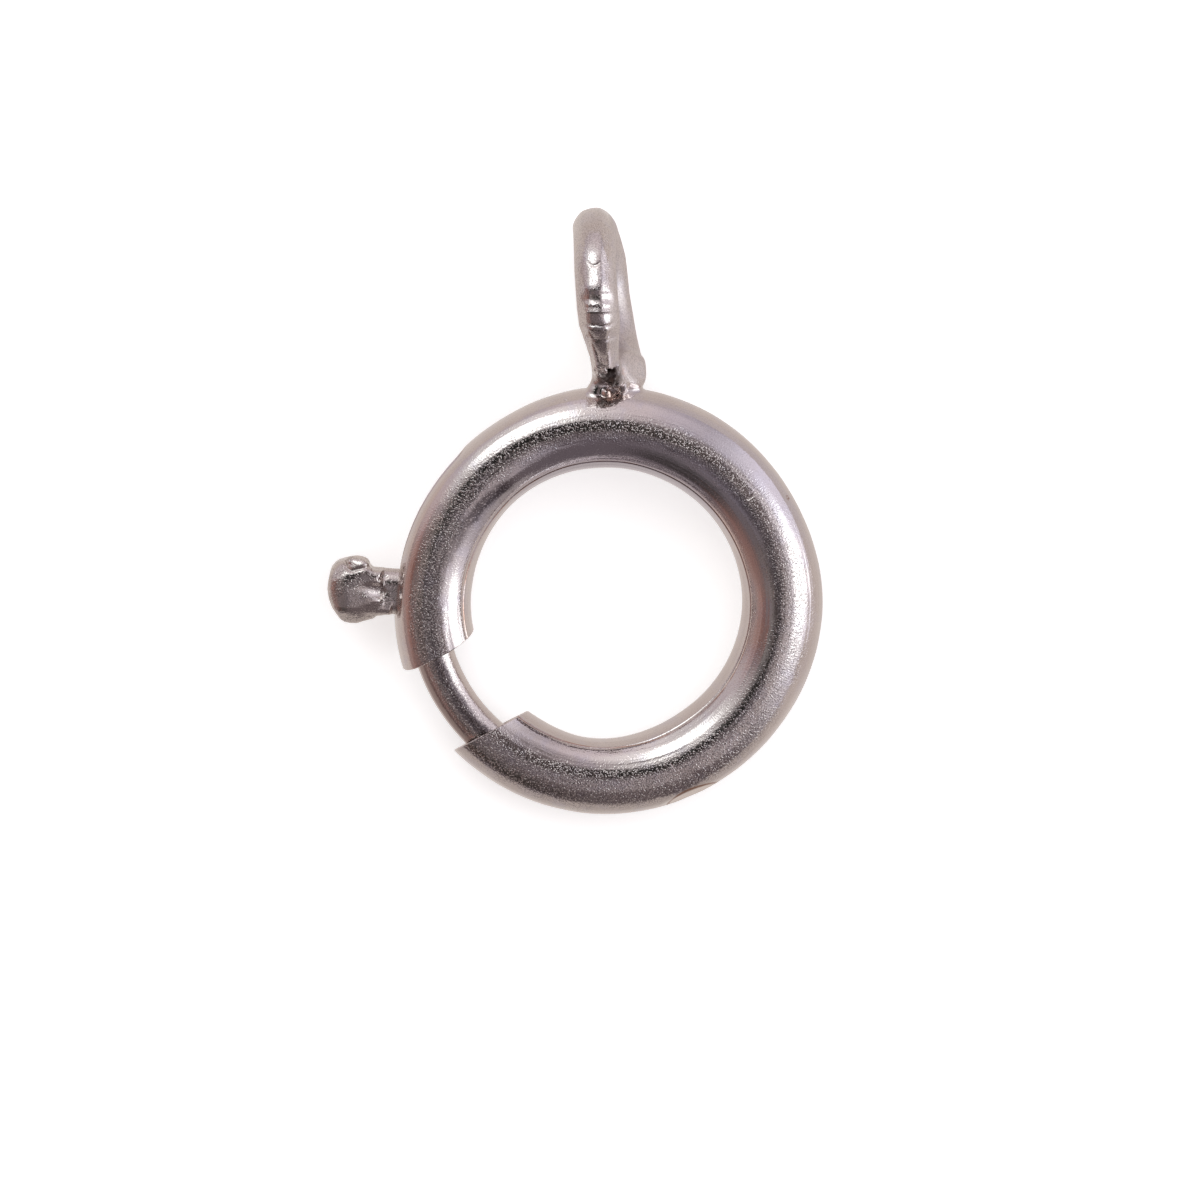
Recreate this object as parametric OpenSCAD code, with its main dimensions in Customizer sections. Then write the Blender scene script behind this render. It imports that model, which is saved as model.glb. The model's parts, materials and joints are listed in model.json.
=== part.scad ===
// Spring ring clasp: a hollow silver ring with a gap, a sprung bolt that closes the gap, a thumb
// lever that draws the bolt back into the ring, and a soldered eye that a chain is fastened to.
// The ring's centre is the origin, +Y points to the eye and +Z away from the surface that the
// clasp lies on. The eye stands higher than the tube, so the clasp rests with its eye end raised.
// Angles round the ring are counted from +X towards +Y.

/* [Ring] */
// Outer diameter of the ring
ring_od = 7; // [6:0.1:9]
// Diameter of the tube that the ring is bent from
tube_d = 1.27; // [1.15:0.01:1.45]
// Thickness of the tube's wall
tube_wall = 0.15; // [0.1:0.01:0.2]
// Width of the seam that runs along the tube
seam_w = 0.06; // [0.04:0.01:0.1]
// Place of the seam round the tube, from the inside of the ring up
seam_angle = 37; // [20:1:60]

/* [Gap] */
// Width of the gap between the two mouths of the tube
gap_w = 1.6; // [1.2:0.05:1.8]
// Direction in which both mouths are cut
gap_angle = 208.2; // [206:0.1:212]
// Distance from the ring's centre to the middle of the gap
gap_offset = 0.16; // [0:0.01:0.3]

/* [Eye] */
// Diameter of the hole in the eye
eye_hole = 1.68; // [1.4:0.01:2.2]
// Diameter of the eye's wire
eye_wire = 0.69; // [0.5:0.01:0.8]
// How far the eye leans to the side
eye_lean = 9.9; // [0:0.1:12]
// How far the eye is turned about its own height
eye_turn = 5.3; // [0:0.1:10]
// Sideways place of the eye's middle
eye_side = -0.04; // [-0.1:0.01:0.1]
// Depth to which the eye's wire is let into the tube
eye_sink = 0.02; // [0.01:0.01:0.04]

/* [Solder] */
// Width of the solder below the eye
solder_w = 0.89; // [0.7:0.01:1]
// Thickness of the solder along the ring's axis
solder_t = 0.9; // [0.7:0.01:1]
// Radius of the hollow where the solder runs out onto the tube
solder_fillet = 0.2; // [0.1:0.01:0.3]

/* [Bolt] */
// How much slimmer the bolt is than the bore of the tube
bolt_play = 0.31; // [0.2:0.01:0.4]
// Running clearance between the bolt and the outer side of the bore
bolt_gap = 0.04; // [0.02:0.01:0.08]
// How far the closed bolt reaches into the far mouth
bolt_reach = 0.27; // [0.15:0.01:0.6]
// How far the open bolt's tip is drawn inside the near mouth
bolt_draw = 0.1; // [0:0.01:0.2]
// Length of the bolt behind the lever
bolt_tail = 1.4; // [0.8:0.05:2]
// Chamfer at both ends of the bolt
bolt_chamfer = 0.08; // [0.04:0.01:0.12]

/* [Thumb lever] */
// Place of the closed lever round the ring
lever_angle = 177.1; // [174:0.1:180]
// How far the lever stands out of the ring
lever_out = 1.115; // [0.9:0.005:1.4]
// Width of the lever's stem along the ring
stem_w = 0.76; // [0.6:0.01:0.9]
// Thickness of the stem across the slot
stem_t = 0.5; // [0.4:0.01:0.6]
// Length of the lever's head
head_l = 0.8; // [0.6:0.01:1]
// Width of the head along the ring
head_w = 1.1; // [0.9:0.01:1.3]
// Thickness of the head
head_t = 0.86; // [0.7:0.01:1]
// Radius of the head's outer corners
head_round = 0.4; // [0.3:0.01:0.42]
// Radius of the corners where the head meets the stem
head_shoulder = 0.16; // [0.08:0.01:0.2]
// Radius of the head's edges
head_edge = 0.3; // [0.1:0.01:0.34]
// Diameter of the peg that holds the lever in the bolt
peg_d = 0.34; // [0.2:0.01:0.4]
// Length of the peg inside the bolt
peg_l = 0.46; // [0.3:0.01:0.5]

/* [Spring] */
// Diameter of the spring's wire
spring_wire = 0.12; // [0.08:0.01:0.16]
// Distance between two turns of the spring
spring_pitch = 0.28; // [0.24:0.01:0.4]
// Clearance between the spring and the bore
spring_gap = 0.05; // [0.02:0.01:0.1]

/* [Crimp] */
// Place of the crimp round the ring
crimp_angle = 292; // [285:1:300]
// Radius of the lump that the crimp raises in the bore
crimp_r = 0.32; // [0.25:0.01:0.4]
// Radius of the dish that the crimp leaves outside
dish_r = 0.55; // [0.4:0.01:0.8]
// Depth of that dish
dish_depth = 0.05; // [0.02:0.01:0.08]

/* [Fits] */
// Clearance between the lever and the slot it slides in
slot_gap = 0.025; // [0.015:0.005:0.04]
// Clearance between pieces that are fixed to each other
fixed_gap = 0.02; // [0.01:0.005:0.03]

/* [Hidden] */
$fn = 96;

// The tube
ring_r = (ring_od - tube_d) / 2;
bore_d = tube_d - 2 * tube_wall;

// The eye, the foot it stands on and how the clasp comes to rest on it
eye_r = (eye_hole + eye_wire) / 2;
eye_y = ring_od / 2 - eye_sink + eye_wire / 2 + eye_r * cos(eye_lean);
foot_x = eye_side + eye_r * sin(eye_lean);
eye_drop = eye_r * cos(eye_turn) + eye_wire / 2;
rest_tilt = asin((eye_drop - tube_d / 2) / (eye_y + ring_r));

// The bolt, from its tail to its tip, and the angle it turns through to open
bolt_d = bore_d - bolt_play;
bolt_r = ring_r + bore_d / 2 - bolt_gap - bolt_d / 2;
near_mouth = gap_angle + asin((gap_offset - gap_w / 2) / bolt_r);
far_mouth = gap_angle + asin((gap_offset + gap_w / 2) / bolt_r);
tip_angle = far_mouth + turned(bolt_reach, bolt_r);
tail_angle = lever_angle - turned(stem_w / 2 + bolt_tail, bolt_r);
travel = tip_angle - near_mouth + turned(bolt_draw, bolt_r);

// The lever, outwards from the bolt
stem_from = bolt_r + bolt_d / 2 + fixed_gap;
lever_tip = ring_od / 2 + lever_out;
head_from = lever_tip - head_l;
peg_from = stem_from - fixed_gap - peg_l;

// The spring, from the bolt's tail to the crimp, and its closed turns at both ends
coil_r = bore_d / 2 - spring_gap - spring_wire / 2;
spring_from = tail_angle - turned(spring_wire / 2 + spring_gap, ring_r);
spring_to = crimp_angle - 360 + turned(crimp_r + spring_wire / 2, ring_r);
spring_l = (spring_from - spring_to) * ring_r * PI / 180;
closed_turns = 1.25;
closed_pitch = spring_wire * 1.15;
open_turns = (spring_l - 2 * closed_turns * closed_pitch) / spring_pitch;
spring_turns = open_turns + 2 * closed_turns;
coil_steps = 10;
wire_sides = 5;

// The angle that a length takes up on a circle
function turned(length, radius) = length / radius * 180 / PI;

// A closed ring of round wire about Z
module torus(r, d) {
    rotate_extrude(angle = 360)
        translate([r, 0])
            circle(d = d);
}

// Stands its children on the ring at an angle and distance, with their Z pointing outwards
module outwards(angle, distance) {
    rotate([0, 0, angle])
        translate([distance, 0, 0])
            rotate([0, 90, 0])
                children();
}

// Tips the clasp into the pose that it rests in
module at_rest() {
    rotate([rest_tilt, 0, 0])
        children();
}

// The loop of wire at the top of the ring
module eye() {
    translate([eye_side, eye_y, 0])
        rotate([0, 0, eye_lean])
            rotate([0, 90 - eye_turn, 0])
                torus(eye_r, eye_wire);
}

// The solder between the eye and the tube, with a hollow flare at each side
module solder() {
    side = solder_w / 2 + solder_fillet;
    intersection() {
        translate([foot_x, ring_od / 2, 0])
            linear_extrude(height = solder_t, center = true)
                difference() {
                    translate([-side, -tube_d / 2])
                        square([2 * side, tube_d / 2 + solder_fillet]);
                    for (s = [-1, 1])
                        translate([s * side, solder_fillet])
                            circle(r = solder_fillet);
                }
        translate([foot_x, ring_od / 2 - solder_fillet / 2, 0])
            rotate([0, 90, 0])
                cylinder(d = solder_t, h = 2 * side, center = true);
    }
}

// The space inside the tube, narrowed by the crimp's lump
module bore() {
    difference() {
        torus(ring_r, bore_d);
        rotate([0, 0, crimp_angle])
            translate([ring_r + bore_d / 2, 0, 0])
                sphere(r = crimp_r);
    }
}

// The parallel-sided cut that leaves the tube's two mouths
module gap() {
    rotate([0, 0, gap_angle])
        translate([0, gap_offset - gap_w / 2, -tube_d])
            cube([ring_od, gap_w, 2 * tube_d]);
}

// The slot in the outer wall that the lever slides along
module lever_slot() {
    high = stem_t + 2 * slot_gap;
    rotate([0, 0, lever_angle - travel])
        rotate_extrude(angle = travel)
            translate([ring_r, -high / 2])
                square([tube_d, high]);
    for (a = [lever_angle - travel, lever_angle])
        outwards(a, ring_r)
            linear_extrude(height = tube_d)
                round_bar(stem_w + 2 * slot_gap, high);
}

// The fine groove where the edges of the tube's sheet meet
module seam() {
    translate([0, 0, sin(seam_angle) * tube_d / 2])
        torus(ring_r - cos(seam_angle) * tube_d / 2, seam_w);
}

// The shallow dish that the crimp leaves in the outer wall
module crimp_dish() {
    rotate([0, 0, crimp_angle])
        translate([ring_od / 2 + dish_r - dish_depth, 0, 0])
            sphere(r = dish_r);
}

module ring() {
    color("gainsboro")
        difference() {
            union() {
                torus(ring_r, tube_d);
                eye();
                solder();
            }
            bore();
            gap();
            lever_slot();
            seam();
            crimp_dish();
        }
}

// What a chamfer takes off an end of the bolt; way is 1 at the tip and -1 at the tail
module bolt_chamfer_cut(angle, way) {
    rotate([0, 0, angle])
        translate([bolt_r, 0, 0])
            rotate([-90 * way, 0, 0])
                translate([0, 0, -2 * bolt_chamfer])
                    difference() {
                        cylinder(d = 2 * bolt_d, h = 3 * bolt_chamfer);
                        cylinder(
                            d1 = bolt_d + 2 * bolt_chamfer,
                            d2 = bolt_d - 4 * bolt_chamfer,
                            h = 3 * bolt_chamfer
                        );
                    }
}

module bolt() {
    color("silver")
        difference() {
            rotate([0, 0, tail_angle])
                rotate_extrude(angle = tip_angle - tail_angle)
                    translate([bolt_r, 0])
                        circle(d = bolt_d);
            bolt_chamfer_cut(tip_angle, 1);
            bolt_chamfer_cut(tail_angle, -1);
            outwards(lever_angle, peg_from - fixed_gap)
                cylinder(d = peg_d + 2 * fixed_gap, h = bolt_d);
        }
}

// A bar with two round edges, long in Y and thick in X
module round_bar(long, thick) {
    square([thick, long - thick], center = true);
    for (s = [-1, 1])
        translate([0, s * (long - thick) / 2])
            circle(d = thick);
}

// A plate from x = 0, with corners of radius near at that end and far at the other
module round_plate(long, wide, near, far) {
    translate([near, -wide / 2])
        square([long - near - far, wide]);
    translate([0, near - wide / 2])
        square([near, wide - 2 * near]);
    translate([long - far, far - wide / 2])
        square([far, wide - 2 * far]);
    for (s = [-1, 1]) {
        translate([near, s * (wide / 2 - near)])
            circle(r = near);
        translate([long - far, s * (wide / 2 - far)])
            circle(r = far);
    }
}

module thumb_lever() {
    color("lightgray") {
        outwards(lever_angle, stem_from)
            linear_extrude(height = head_from - stem_from + head_l / 2)
                round_bar(stem_w, stem_t);
        outwards(lever_angle, peg_from)
            cylinder(d = peg_d, h = stem_from - peg_from + fixed_gap);
        rotate([0, 0, lever_angle])
            translate([head_from, 0, 0])
                intersection() {
                    linear_extrude(height = head_t, center = true)
                        round_plate(head_l, head_w, head_shoulder, head_round);
                    rotate([90, 0, 0])
                        linear_extrude(height = head_w, center = true)
                            round_plate(head_l, head_t, head_shoulder, head_edge);
                }
    }
}

// How far along its axis the spring has come after a number of turns
function advance(turns) =
    turns < closed_turns
        ? turns * closed_pitch
        : turns < closed_turns + open_turns
            ? closed_turns * closed_pitch + (turns - closed_turns) * spring_pitch
            : spring_l - (spring_turns - turns) * closed_pitch;

// A point of the spring's wire after a number of turns, at a distance from the coil's axis
function coil_point(turns, radius) =
    let (
        along = spring_from - turned(advance(turns), ring_r),
        out = ring_r + radius * cos(360 * turns)
    )
    [out * cos(along), out * sin(along), radius * sin(360 * turns)];

// The spring's coil, bent round the ring inside the tube
module spring() {
    last = floor(spring_turns * coil_steps);
    half_step = 0.5 / coil_steps;
    points = [
        for (i = [0:last])
            let (
                turns = i / coil_steps,
                at = coil_point(turns, coil_r),
                out = coil_point(turns, coil_r + 1) - at,
                ahead = coil_point(turns + half_step, coil_r) - coil_point(turns - half_step, coil_r),
                side = cross(ahead, out) / norm(cross(ahead, out))
            )
            for (k = [0:wire_sides - 1])
                at + (out * cos(360 * k / wire_sides) + side * sin(360 * k / wire_sides)) * spring_wire / 2
    ];
    walls = [
        for (i = [0:last - 1])
            for (k = [0:wire_sides - 1])
                let (
                    a = i * wire_sides + k,
                    b = i * wire_sides + (k + 1) % wire_sides
                )
                each [[a, b, b + wire_sides], [a, b + wire_sides, a + wire_sides]]
    ];
    first_cap = [for (k = [wire_sides - 1:-1:0]) k];
    last_cap = [for (k = [0:wire_sides - 1]) last * wire_sides + k];
    color("darkgray")
        polyhedron(points, concat(walls, [first_cap, last_cap]));
}

at_rest() ring();
at_rest() bolt();
at_rest() thumb_lever();
at_rest() spring();
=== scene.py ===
"""Spring ring clasp: a hollow silver ring with a gap, a sprung bolt, a thumb lever and an eye.

Shapes are made in millimetres in the flat frame, where the ring lies level: its centre is the
origin, +Y points to the eye and +Z is up. They are then tipped into the pose that the clasp
rests in, and turned into metres.
"""

import json
import math

import bpy
import numpy as np
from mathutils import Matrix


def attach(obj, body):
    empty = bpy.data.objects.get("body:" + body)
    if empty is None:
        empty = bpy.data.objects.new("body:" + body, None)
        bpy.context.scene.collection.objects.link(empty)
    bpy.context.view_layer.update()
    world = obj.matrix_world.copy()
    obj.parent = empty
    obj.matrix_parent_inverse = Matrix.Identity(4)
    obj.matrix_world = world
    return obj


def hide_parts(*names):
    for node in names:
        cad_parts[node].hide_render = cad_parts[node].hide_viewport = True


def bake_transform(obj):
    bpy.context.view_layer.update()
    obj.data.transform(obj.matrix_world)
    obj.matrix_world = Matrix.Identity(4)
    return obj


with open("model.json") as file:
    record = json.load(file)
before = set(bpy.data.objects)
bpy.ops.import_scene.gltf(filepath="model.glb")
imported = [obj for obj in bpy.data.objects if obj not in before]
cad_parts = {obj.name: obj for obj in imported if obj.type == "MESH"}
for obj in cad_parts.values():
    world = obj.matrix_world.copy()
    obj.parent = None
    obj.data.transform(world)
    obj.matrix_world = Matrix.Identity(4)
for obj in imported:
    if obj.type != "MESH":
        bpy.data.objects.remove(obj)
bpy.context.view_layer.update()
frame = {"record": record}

# Places and sizes that the solids have too
JOINT_AXIS = frame["record"]["behaviour"]["joints"][0]["axis"]
REST_TILT = math.atan2(JOINT_AXIS[1], -JOINT_AXIS[2])
RING_R = 2.865
BORE_R = 0.485
GAP_ANGLE = 208.2
NEAR_MOUTH = -0.64
FAR_MOUTH = 0.96
SEAM_ANGLE = 143.0
LEVER_ANGLE = 177.1
TRAVEL = 38.3085
SLOT_HALF_W = 0.405
SLOT_HALF_H = 0.275
CRIMP_ANGLE = 292.0
EYE_Y = 4.99235
EYE_R = 1.185
BOLT_R = 2.98
BOLT_WIRE_R = 0.33
BOLT_TAIL = 142.876
BOLT_TIP = 232.184
PEG_R = 0.17
PEG_FROM = 2.85
STEM_FROM = 3.33
COIL_R = 0.375
SPRING_FROM = 140.677
SPRING_TO = -60.40
SPRING_WIRE_R = 0.06
FLOOR_Z = -0.95949

# What the solids have only as straight edges or in another form: the lips of the slot, how far
# out and how high up the crimp's flat faces, and the tube's mean half thickness
UPPER_LIP = 0.014
LOWER_LIP = 0.040
LOWER_LIP_END = 0.095
CRIMP_TURN = math.radians(CRIMP_ANGLE + 1.0)
CRIMP_PLANE = 3.334
CRIMP_LIFT = 18.0
SKIN_R = 0.635

# The grids that the eye and the lever are made on
EYE_BOX = ((-0.80, 2.55, -1.60), (1.10, 6.62, 1.60))
EYE_STEP = 0.023
LEVER_BOX = ((-4.68, -0.42, -0.50), (-2.78, 0.82, 0.50))
LEVER_STEP = 0.0125

# The photograph's frame: millimetres in a pixel, and the pixel where the ring's centre lies
PIXEL = 0.016455
CENTRE_X = 607.97
CENTRE_Y = 602.1
FRAME_PIXELS = 1200


def smooth_step(low, high, value):
    """0 below low, 1 above high, and smooth between them."""
    t = np.clip((value - low) / (high - low), 0.0, 1.0)
    return t * t * (3.0 - 2.0 * t)


def smooth_min(a, b, k):
    """The lesser of two distances, rounded over a width of k."""
    h = np.clip(0.5 + 0.5 * (b - a) / k, 0.0, 1.0)
    return b + (a - b) * h - k * h * (1.0 - h)


def smooth_max(a, b, k):
    """The greater of two distances, rounded over a width of k."""
    return -smooth_min(-a, -b, k)


def from_photo(px, py, height=0.0):
    """A place in the photograph as flat-frame X and Y, for a point at that flat-frame height."""
    x = (px - CENTRE_X) * PIXEL
    y = ((CENTRE_Y - py) * PIXEL + height * math.sin(REST_TILT)) / math.cos(REST_TILT)
    return x, y


def round_table(blur, *rows):
    """A smooth periodic function of an angle in degrees, from rows of (angle, value)."""
    fine = np.arange(0.0, 360.0, 0.5)
    angles, values = zip(*rows)
    raw = np.interp(fine, angles, values, period=360.0)
    away = np.minimum(fine, 360.0 - fine)
    kernel = np.exp(-0.5 * (away / blur) ** 2)
    kernel /= kernel.sum()
    soft = np.fft.ifft(np.fft.fft(raw) * np.fft.fft(kernel)).real

    def value_at(angle):
        return np.interp(angle, fine, soft, period=360.0)

    return value_at


# The bent tube isn't quite even: its outer and inner outline round the ring, and how square it is
OUTER = round_table(
    6.0,
    (0, 3.540), (30, 3.500), (60, 3.547), (78, 3.570), (99, 3.562), (120, 3.488), (150, 3.480),
    (165, 3.502), (186, 3.523), (195, 3.552), (228, 3.519), (270, 3.508), (300, 3.480),
    (315, 3.482), (330, 3.500),
)
INNER = round_table(
    6.0,
    (0, 2.209), (45, 2.214), (90, 2.226), (135, 2.268), (165, 2.245), (189, 2.258), (240, 2.229),
    (261, 2.288), (300, 2.169), (330, 2.177),
)
OUTER_SQUARENESS = round_table(
    8.0,
    (0, 1.75), (24, 2.0), (48, 2.18), (72, 1.75), (96, 1.97), (120, 2.5), (192, 2.5), (216, 2.43),
    (240, 2.22), (264, 2.22), (288, 2.48), (312, 2.45), (336, 1.75),
)
INNER_SQUARENESS = round_table(
    8.0,
    (0, 1.75), (24, 2.32), (48, 2.12), (72, 2.0), (96, 1.8), (120, 1.95), (144, 2.3), (168, 1.9),
    (204, 2.17), (240, 1.88), (264, 2.3), (288, 1.72), (336, 1.70),
)
TUBE_HALF_H = 0.628


def squareness(phi, outer_side):
    """How square the tube's section is: 2 is round, more is boxy and less is peaked."""
    return np.where(outer_side, OUTER_SQUARENESS(phi), INNER_SQUARENESS(phi))


def ripple(x, y, z, length, seed):
    """Soft unevenness of about -1 to 1 with waves of about that length."""
    rng = np.random.RandomState(seed)
    total = 0.0
    count = 7
    for _ in range(count):
        way = rng.normal(size=3)
        way /= np.linalg.norm(way)
        k = 2.0 * math.pi / (length * rng.uniform(0.7, 1.6))
        phase = rng.uniform(0.0, 2.0 * math.pi)
        total = total + np.sin(k * (way[0] * x + way[1] * y + way[2] * z) + phase)
    return total / math.sqrt(count)


def new_mesh(name, points, faces):
    """A mesh from an array of points and a list of face arrays, each of one size."""
    mesh = bpy.data.meshes.new(name)
    loops = np.concatenate([f.ravel() for f in faces]).astype(np.int32)
    sizes = np.concatenate([np.full(len(f), f.shape[1]) for f in faces])
    starts = np.concatenate([[0], np.cumsum(sizes)[:-1]]).astype(np.int32)
    mesh.vertices.add(len(points))
    mesh.vertices.foreach_set("co", np.asarray(points, dtype=np.float32).ravel())
    mesh.loops.add(len(loops))
    mesh.loops.foreach_set("vertex_index", loops)
    mesh.polygons.add(len(sizes))
    mesh.polygons.foreach_set("loop_start", starts)
    mesh.update(calc_edges=True)
    mesh.validate()
    return mesh


def new_object(name, data):
    obj = bpy.data.objects.new(name, data)
    bpy.context.scene.collection.objects.link(obj)
    return obj


def new_solid(name, points, faces):
    """A closed mesh as an object, with its faces turned outwards."""
    return new_object(name, new_mesh(name, points, face_outwards(points, faces)))


def face_outwards(points, faces):
    """Turns all faces round if the closed mesh is inside out."""
    volume = 0.0
    for f in faces:
        for i in range(1, f.shape[1] - 1):
            a, b, c = points[f[:, 0]], points[f[:, i]], points[f[:, i + 1]]
            volume += np.einsum("ij,ij->", a, np.cross(b, c))
    if volume < 0.0:
        return [f[:, ::-1] for f in faces]
    return faces


def wall_faces(count, sides, rows):
    """Faces between rings of points; where rows is count, the last ring joins the first."""
    i = np.arange(rows)[:, None]
    j = np.arange(sides)[None, :]
    after = (i + 1) % count
    beside = (j + 1) % sides
    return np.stack(
        [i * sides + j, after * sides + j, after * sides + beside, i * sides + beside], axis=-1
    ).reshape(-1, 4)


def swept_solid(rings):
    """Points and faces of a rod through rings of points, closed by a fan at each end."""
    count = len(rings)
    sides = len(rings[0])
    points = np.concatenate(rings)
    ends = np.stack([rings[0].mean(axis=0), rings[-1].mean(axis=0)])
    side = np.arange(sides)
    turn = (side + 1) % sides
    first = np.full(sides, len(points))
    start = np.stack([first, side, turn], axis=-1)
    stop = np.stack([first + 1, (count - 1) * sides + turn, (count - 1) * sides + side], axis=-1)
    points = np.concatenate([points, ends])
    return points, [wall_faces(count, sides, count - 1), start, stop]


def surface_net(field, low, high, step):
    """Points and faces of the closed surface where field(x, y, z) is zero inside a box."""
    axes = [np.arange(a, b + step, step) for a, b in zip(low, high)]
    d = field(axes[0][:, None, None], axes[1][None, :, None], axes[2][None, None, :])
    d = np.broadcast_to(d, tuple(len(a) for a in axes)).astype(np.float64)
    inside = d < 0.0
    cells = tuple(n - 1 for n in d.shape)
    total = np.zeros(cells + (3,))
    hits = np.zeros(cells)
    quads = []
    for axis in range(3):
        crossed = np.argwhere(np.diff(inside, axis=axis))
        near = tuple(crossed.T)
        far = tuple((crossed + np.eye(3, dtype=int)[axis]).T)
        place = np.stack([a[i] for a, i in zip(axes, near)], axis=-1)
        place[:, axis] += step * d[near] / (d[near] - d[far])
        others = [a for a in range(3) if a != axis]
        flat = []
        for shift in ((0, 0), (1, 0), (1, 1), (0, 1)):
            cell = crossed.copy()
            cell[:, others] -= shift
            ok = np.all((cell >= 0) & (cell < cells), axis=1)
            np.add.at(total, tuple(cell[ok].T), place[ok])
            np.add.at(hits, tuple(cell[ok].T), 1.0)
            flat.append(np.ravel_multi_index(cell.T, cells, mode="clip"))
        quad = np.stack(flat, axis=-1)
        turn = inside[near] == (axis != 1)
        quad[turn] = quad[turn][:, ::-1]
        quads.append(quad)
    active = hits > 0
    number = np.full(cells, -1)
    number[active] = np.arange(active.sum())
    points = total[active] / hits[active][:, None]
    return settle(field, points, 0.4 * step), [number.ravel()[np.concatenate(quads)]]


def settle(field, points, most):
    """Moves points onto the zero surface of a field, each step by no more than most."""
    e = 1e-4
    for _ in range(3):
        slope = [field(*(points + s).T) - field(*(points - s).T) for s in e * np.eye(3)]
        slope = np.stack(slope, axis=-1) / (2.0 * e)
        size = np.maximum(np.linalg.norm(slope, axis=1), 0.2)
        move = np.clip(-field(*points.T) / size, -most, most)
        points = points + slope / size[:, None] * move[:, None]
    return points


def boolean(obj, other, operation):
    """Joins or cuts a solid with another one, which is then removed."""
    change = obj.modifiers.new("solid", "BOOLEAN")
    change.operation = operation
    change.solver = "MANIFOLD"
    change.object = other
    graph = bpy.context.evaluated_depsgraph_get()
    result = bpy.data.meshes.new_from_object(obj.evaluated_get(graph))
    obj.modifiers.clear()
    old = obj.data
    obj.data = result
    bpy.data.meshes.remove(old)
    spare = other.data
    bpy.data.objects.remove(other)
    bpy.data.meshes.remove(spare)


def ring_place(angle, out, up, beside=0.0):
    """Places by their angle round the ring, how far out and up they are, and how far beside."""
    c, s = np.cos(np.radians(angle)), np.sin(np.radians(angle))
    x, y, z = np.broadcast_arrays(out * c - beside * s, out * s + beside * c, up)
    return np.stack([x, y, z], axis=-1)


def at_rest(x, y, z):
    """A flat-frame place in metres in the rest pose."""
    c, s = math.cos(REST_TILT), math.sin(REST_TILT)
    return (x * 0.001, (y * c - z * s) * 0.001, (y * s + z * c) * 0.001)


def finish_shape(obj, sharp_angle):
    """Tips a piece into the rest pose in metres, and smooths all but its sharp edges."""
    mesh = obj.data
    flat = np.empty(len(mesh.vertices) * 3, dtype=np.float32)
    mesh.vertices.foreach_get("co", flat)
    world = np.stack(at_rest(*flat.reshape(-1, 3).T.astype(np.float64)), axis=-1)
    mesh.vertices.foreach_set("co", world.astype(np.float32).ravel())
    mesh.polygons.foreach_set("use_smooth", np.ones(len(mesh.polygons), dtype=bool))
    mesh.set_sharp_from_angle(angle=math.radians(sharp_angle))
    mesh.update()


# The tube

SKIN_STEPS = 440
BORE_STEPS = 110
MOUTH_BEVEL = 0.014
MOUTH_ROWS = 6
SLOT_FLOOR = 3.05
SLOT_TOP = 3.75

# Each mouth's plane: its place across the gap, and how far its top leans on past its middle
NEAR_CUT = (NEAR_MOUTH, 0.13)
FAR_CUT = (FAR_MOUTH, -0.085)

# The seam's groove, its half width in degrees round the tube, and the raised edge beside it
SEAM_DEPTH = 0.006
SEAM_HALF_W = 1.7
SEAM_LIP = 0.003
CRIMP_LUMP = 0.28
CRIMP_LUMP_R = 0.2


def section_angles():
    """Angles round the tube's section, closer together at the seam."""
    even = np.arange(0.0, 360.0, 4.5)
    near = np.array([-7.0, -4.2, -2.4, -1.7, -0.8, 0.0, 0.8, 1.7, 2.4, 4.2, 7.0]) + SEAM_ANGLE
    far = even[np.abs(even - SEAM_ANGLE) > 9.0]
    return np.sort(np.concatenate([far, near]))


def tube_width(phi):
    """The middle of the tube and half its width, from its outer and inner outline."""
    return (OUTER(phi) + INNER(phi)) / 2.0, (OUTER(phi) - INNER(phi)) / 2.0


def skin_offsets(phi, psi):
    """How far the tube's skin lies out from the middle of the ring, and its height."""
    middle, half_w = tube_width(phi)
    c, s = np.cos(np.radians(psi)), np.sin(np.radians(psi))
    power = 2.0 / squareness(phi, c > 0.0)
    across = np.sign(c) * np.abs(c) ** power * half_w
    up = np.sign(s) * np.abs(s) ** power * TUBE_HALF_H
    off = np.abs(psi - SEAM_ANGLE)
    dent = -SEAM_DEPTH * np.clip(1.0 - off / SEAM_HALF_W, 0.0, 1.0)
    lip = SEAM_LIP * (psi > SEAM_ANGLE) * np.clip(1.0 - (off - 2.0) / 5.0, 0.0, 1.0)
    depth = dent + lip
    return middle + across + depth * c, up + depth * s


def bore_offsets(phi, psi):
    """The same for the space inside the tube, with the lump that the crimp raises."""
    c, s = np.cos(np.radians(psi)), np.sin(np.radians(psi))
    along = np.radians(phi - CRIMP_ANGLE - 360.0 * np.round((phi - CRIMP_ANGLE) / 360.0)) * RING_R
    round_it = np.radians(np.minimum(psi, 360.0 - psi)) * BORE_R
    radius = BORE_R - CRIMP_LUMP * np.exp(-(along**2 + round_it**2) / CRIMP_LUMP_R**2)
    return RING_R + radius * c, radius * s


def mouth_angle(offsets, cut, psi, inset=0.0):
    """Where round the ring each line along the tube meets a mouth's leaning plane."""
    middle, lean = cut
    plane = middle + inset
    phi = np.full_like(psi, GAP_ANGLE + math.degrees(math.asin(plane / RING_R)))
    for _ in range(6):
        out, up = offsets(phi, psi)
        phi = GAP_ANGLE + np.degrees(np.arcsin((plane + lean * up) / out))
    return phi


def tube_lines(offsets, psi, steps, inset):
    """Rings of points along the tube, from the far mouth round to the near one."""
    start = mouth_angle(offsets, FAR_CUT, psi, inset)
    stop = mouth_angle(offsets, NEAR_CUT, psi, -inset) + 360.0
    lines = []
    for step in range(steps + 1):
        phi = start + (stop - start) * step / steps
        lines.append(ring_place(phi, *offsets(phi, psi)))
    return lines


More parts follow.
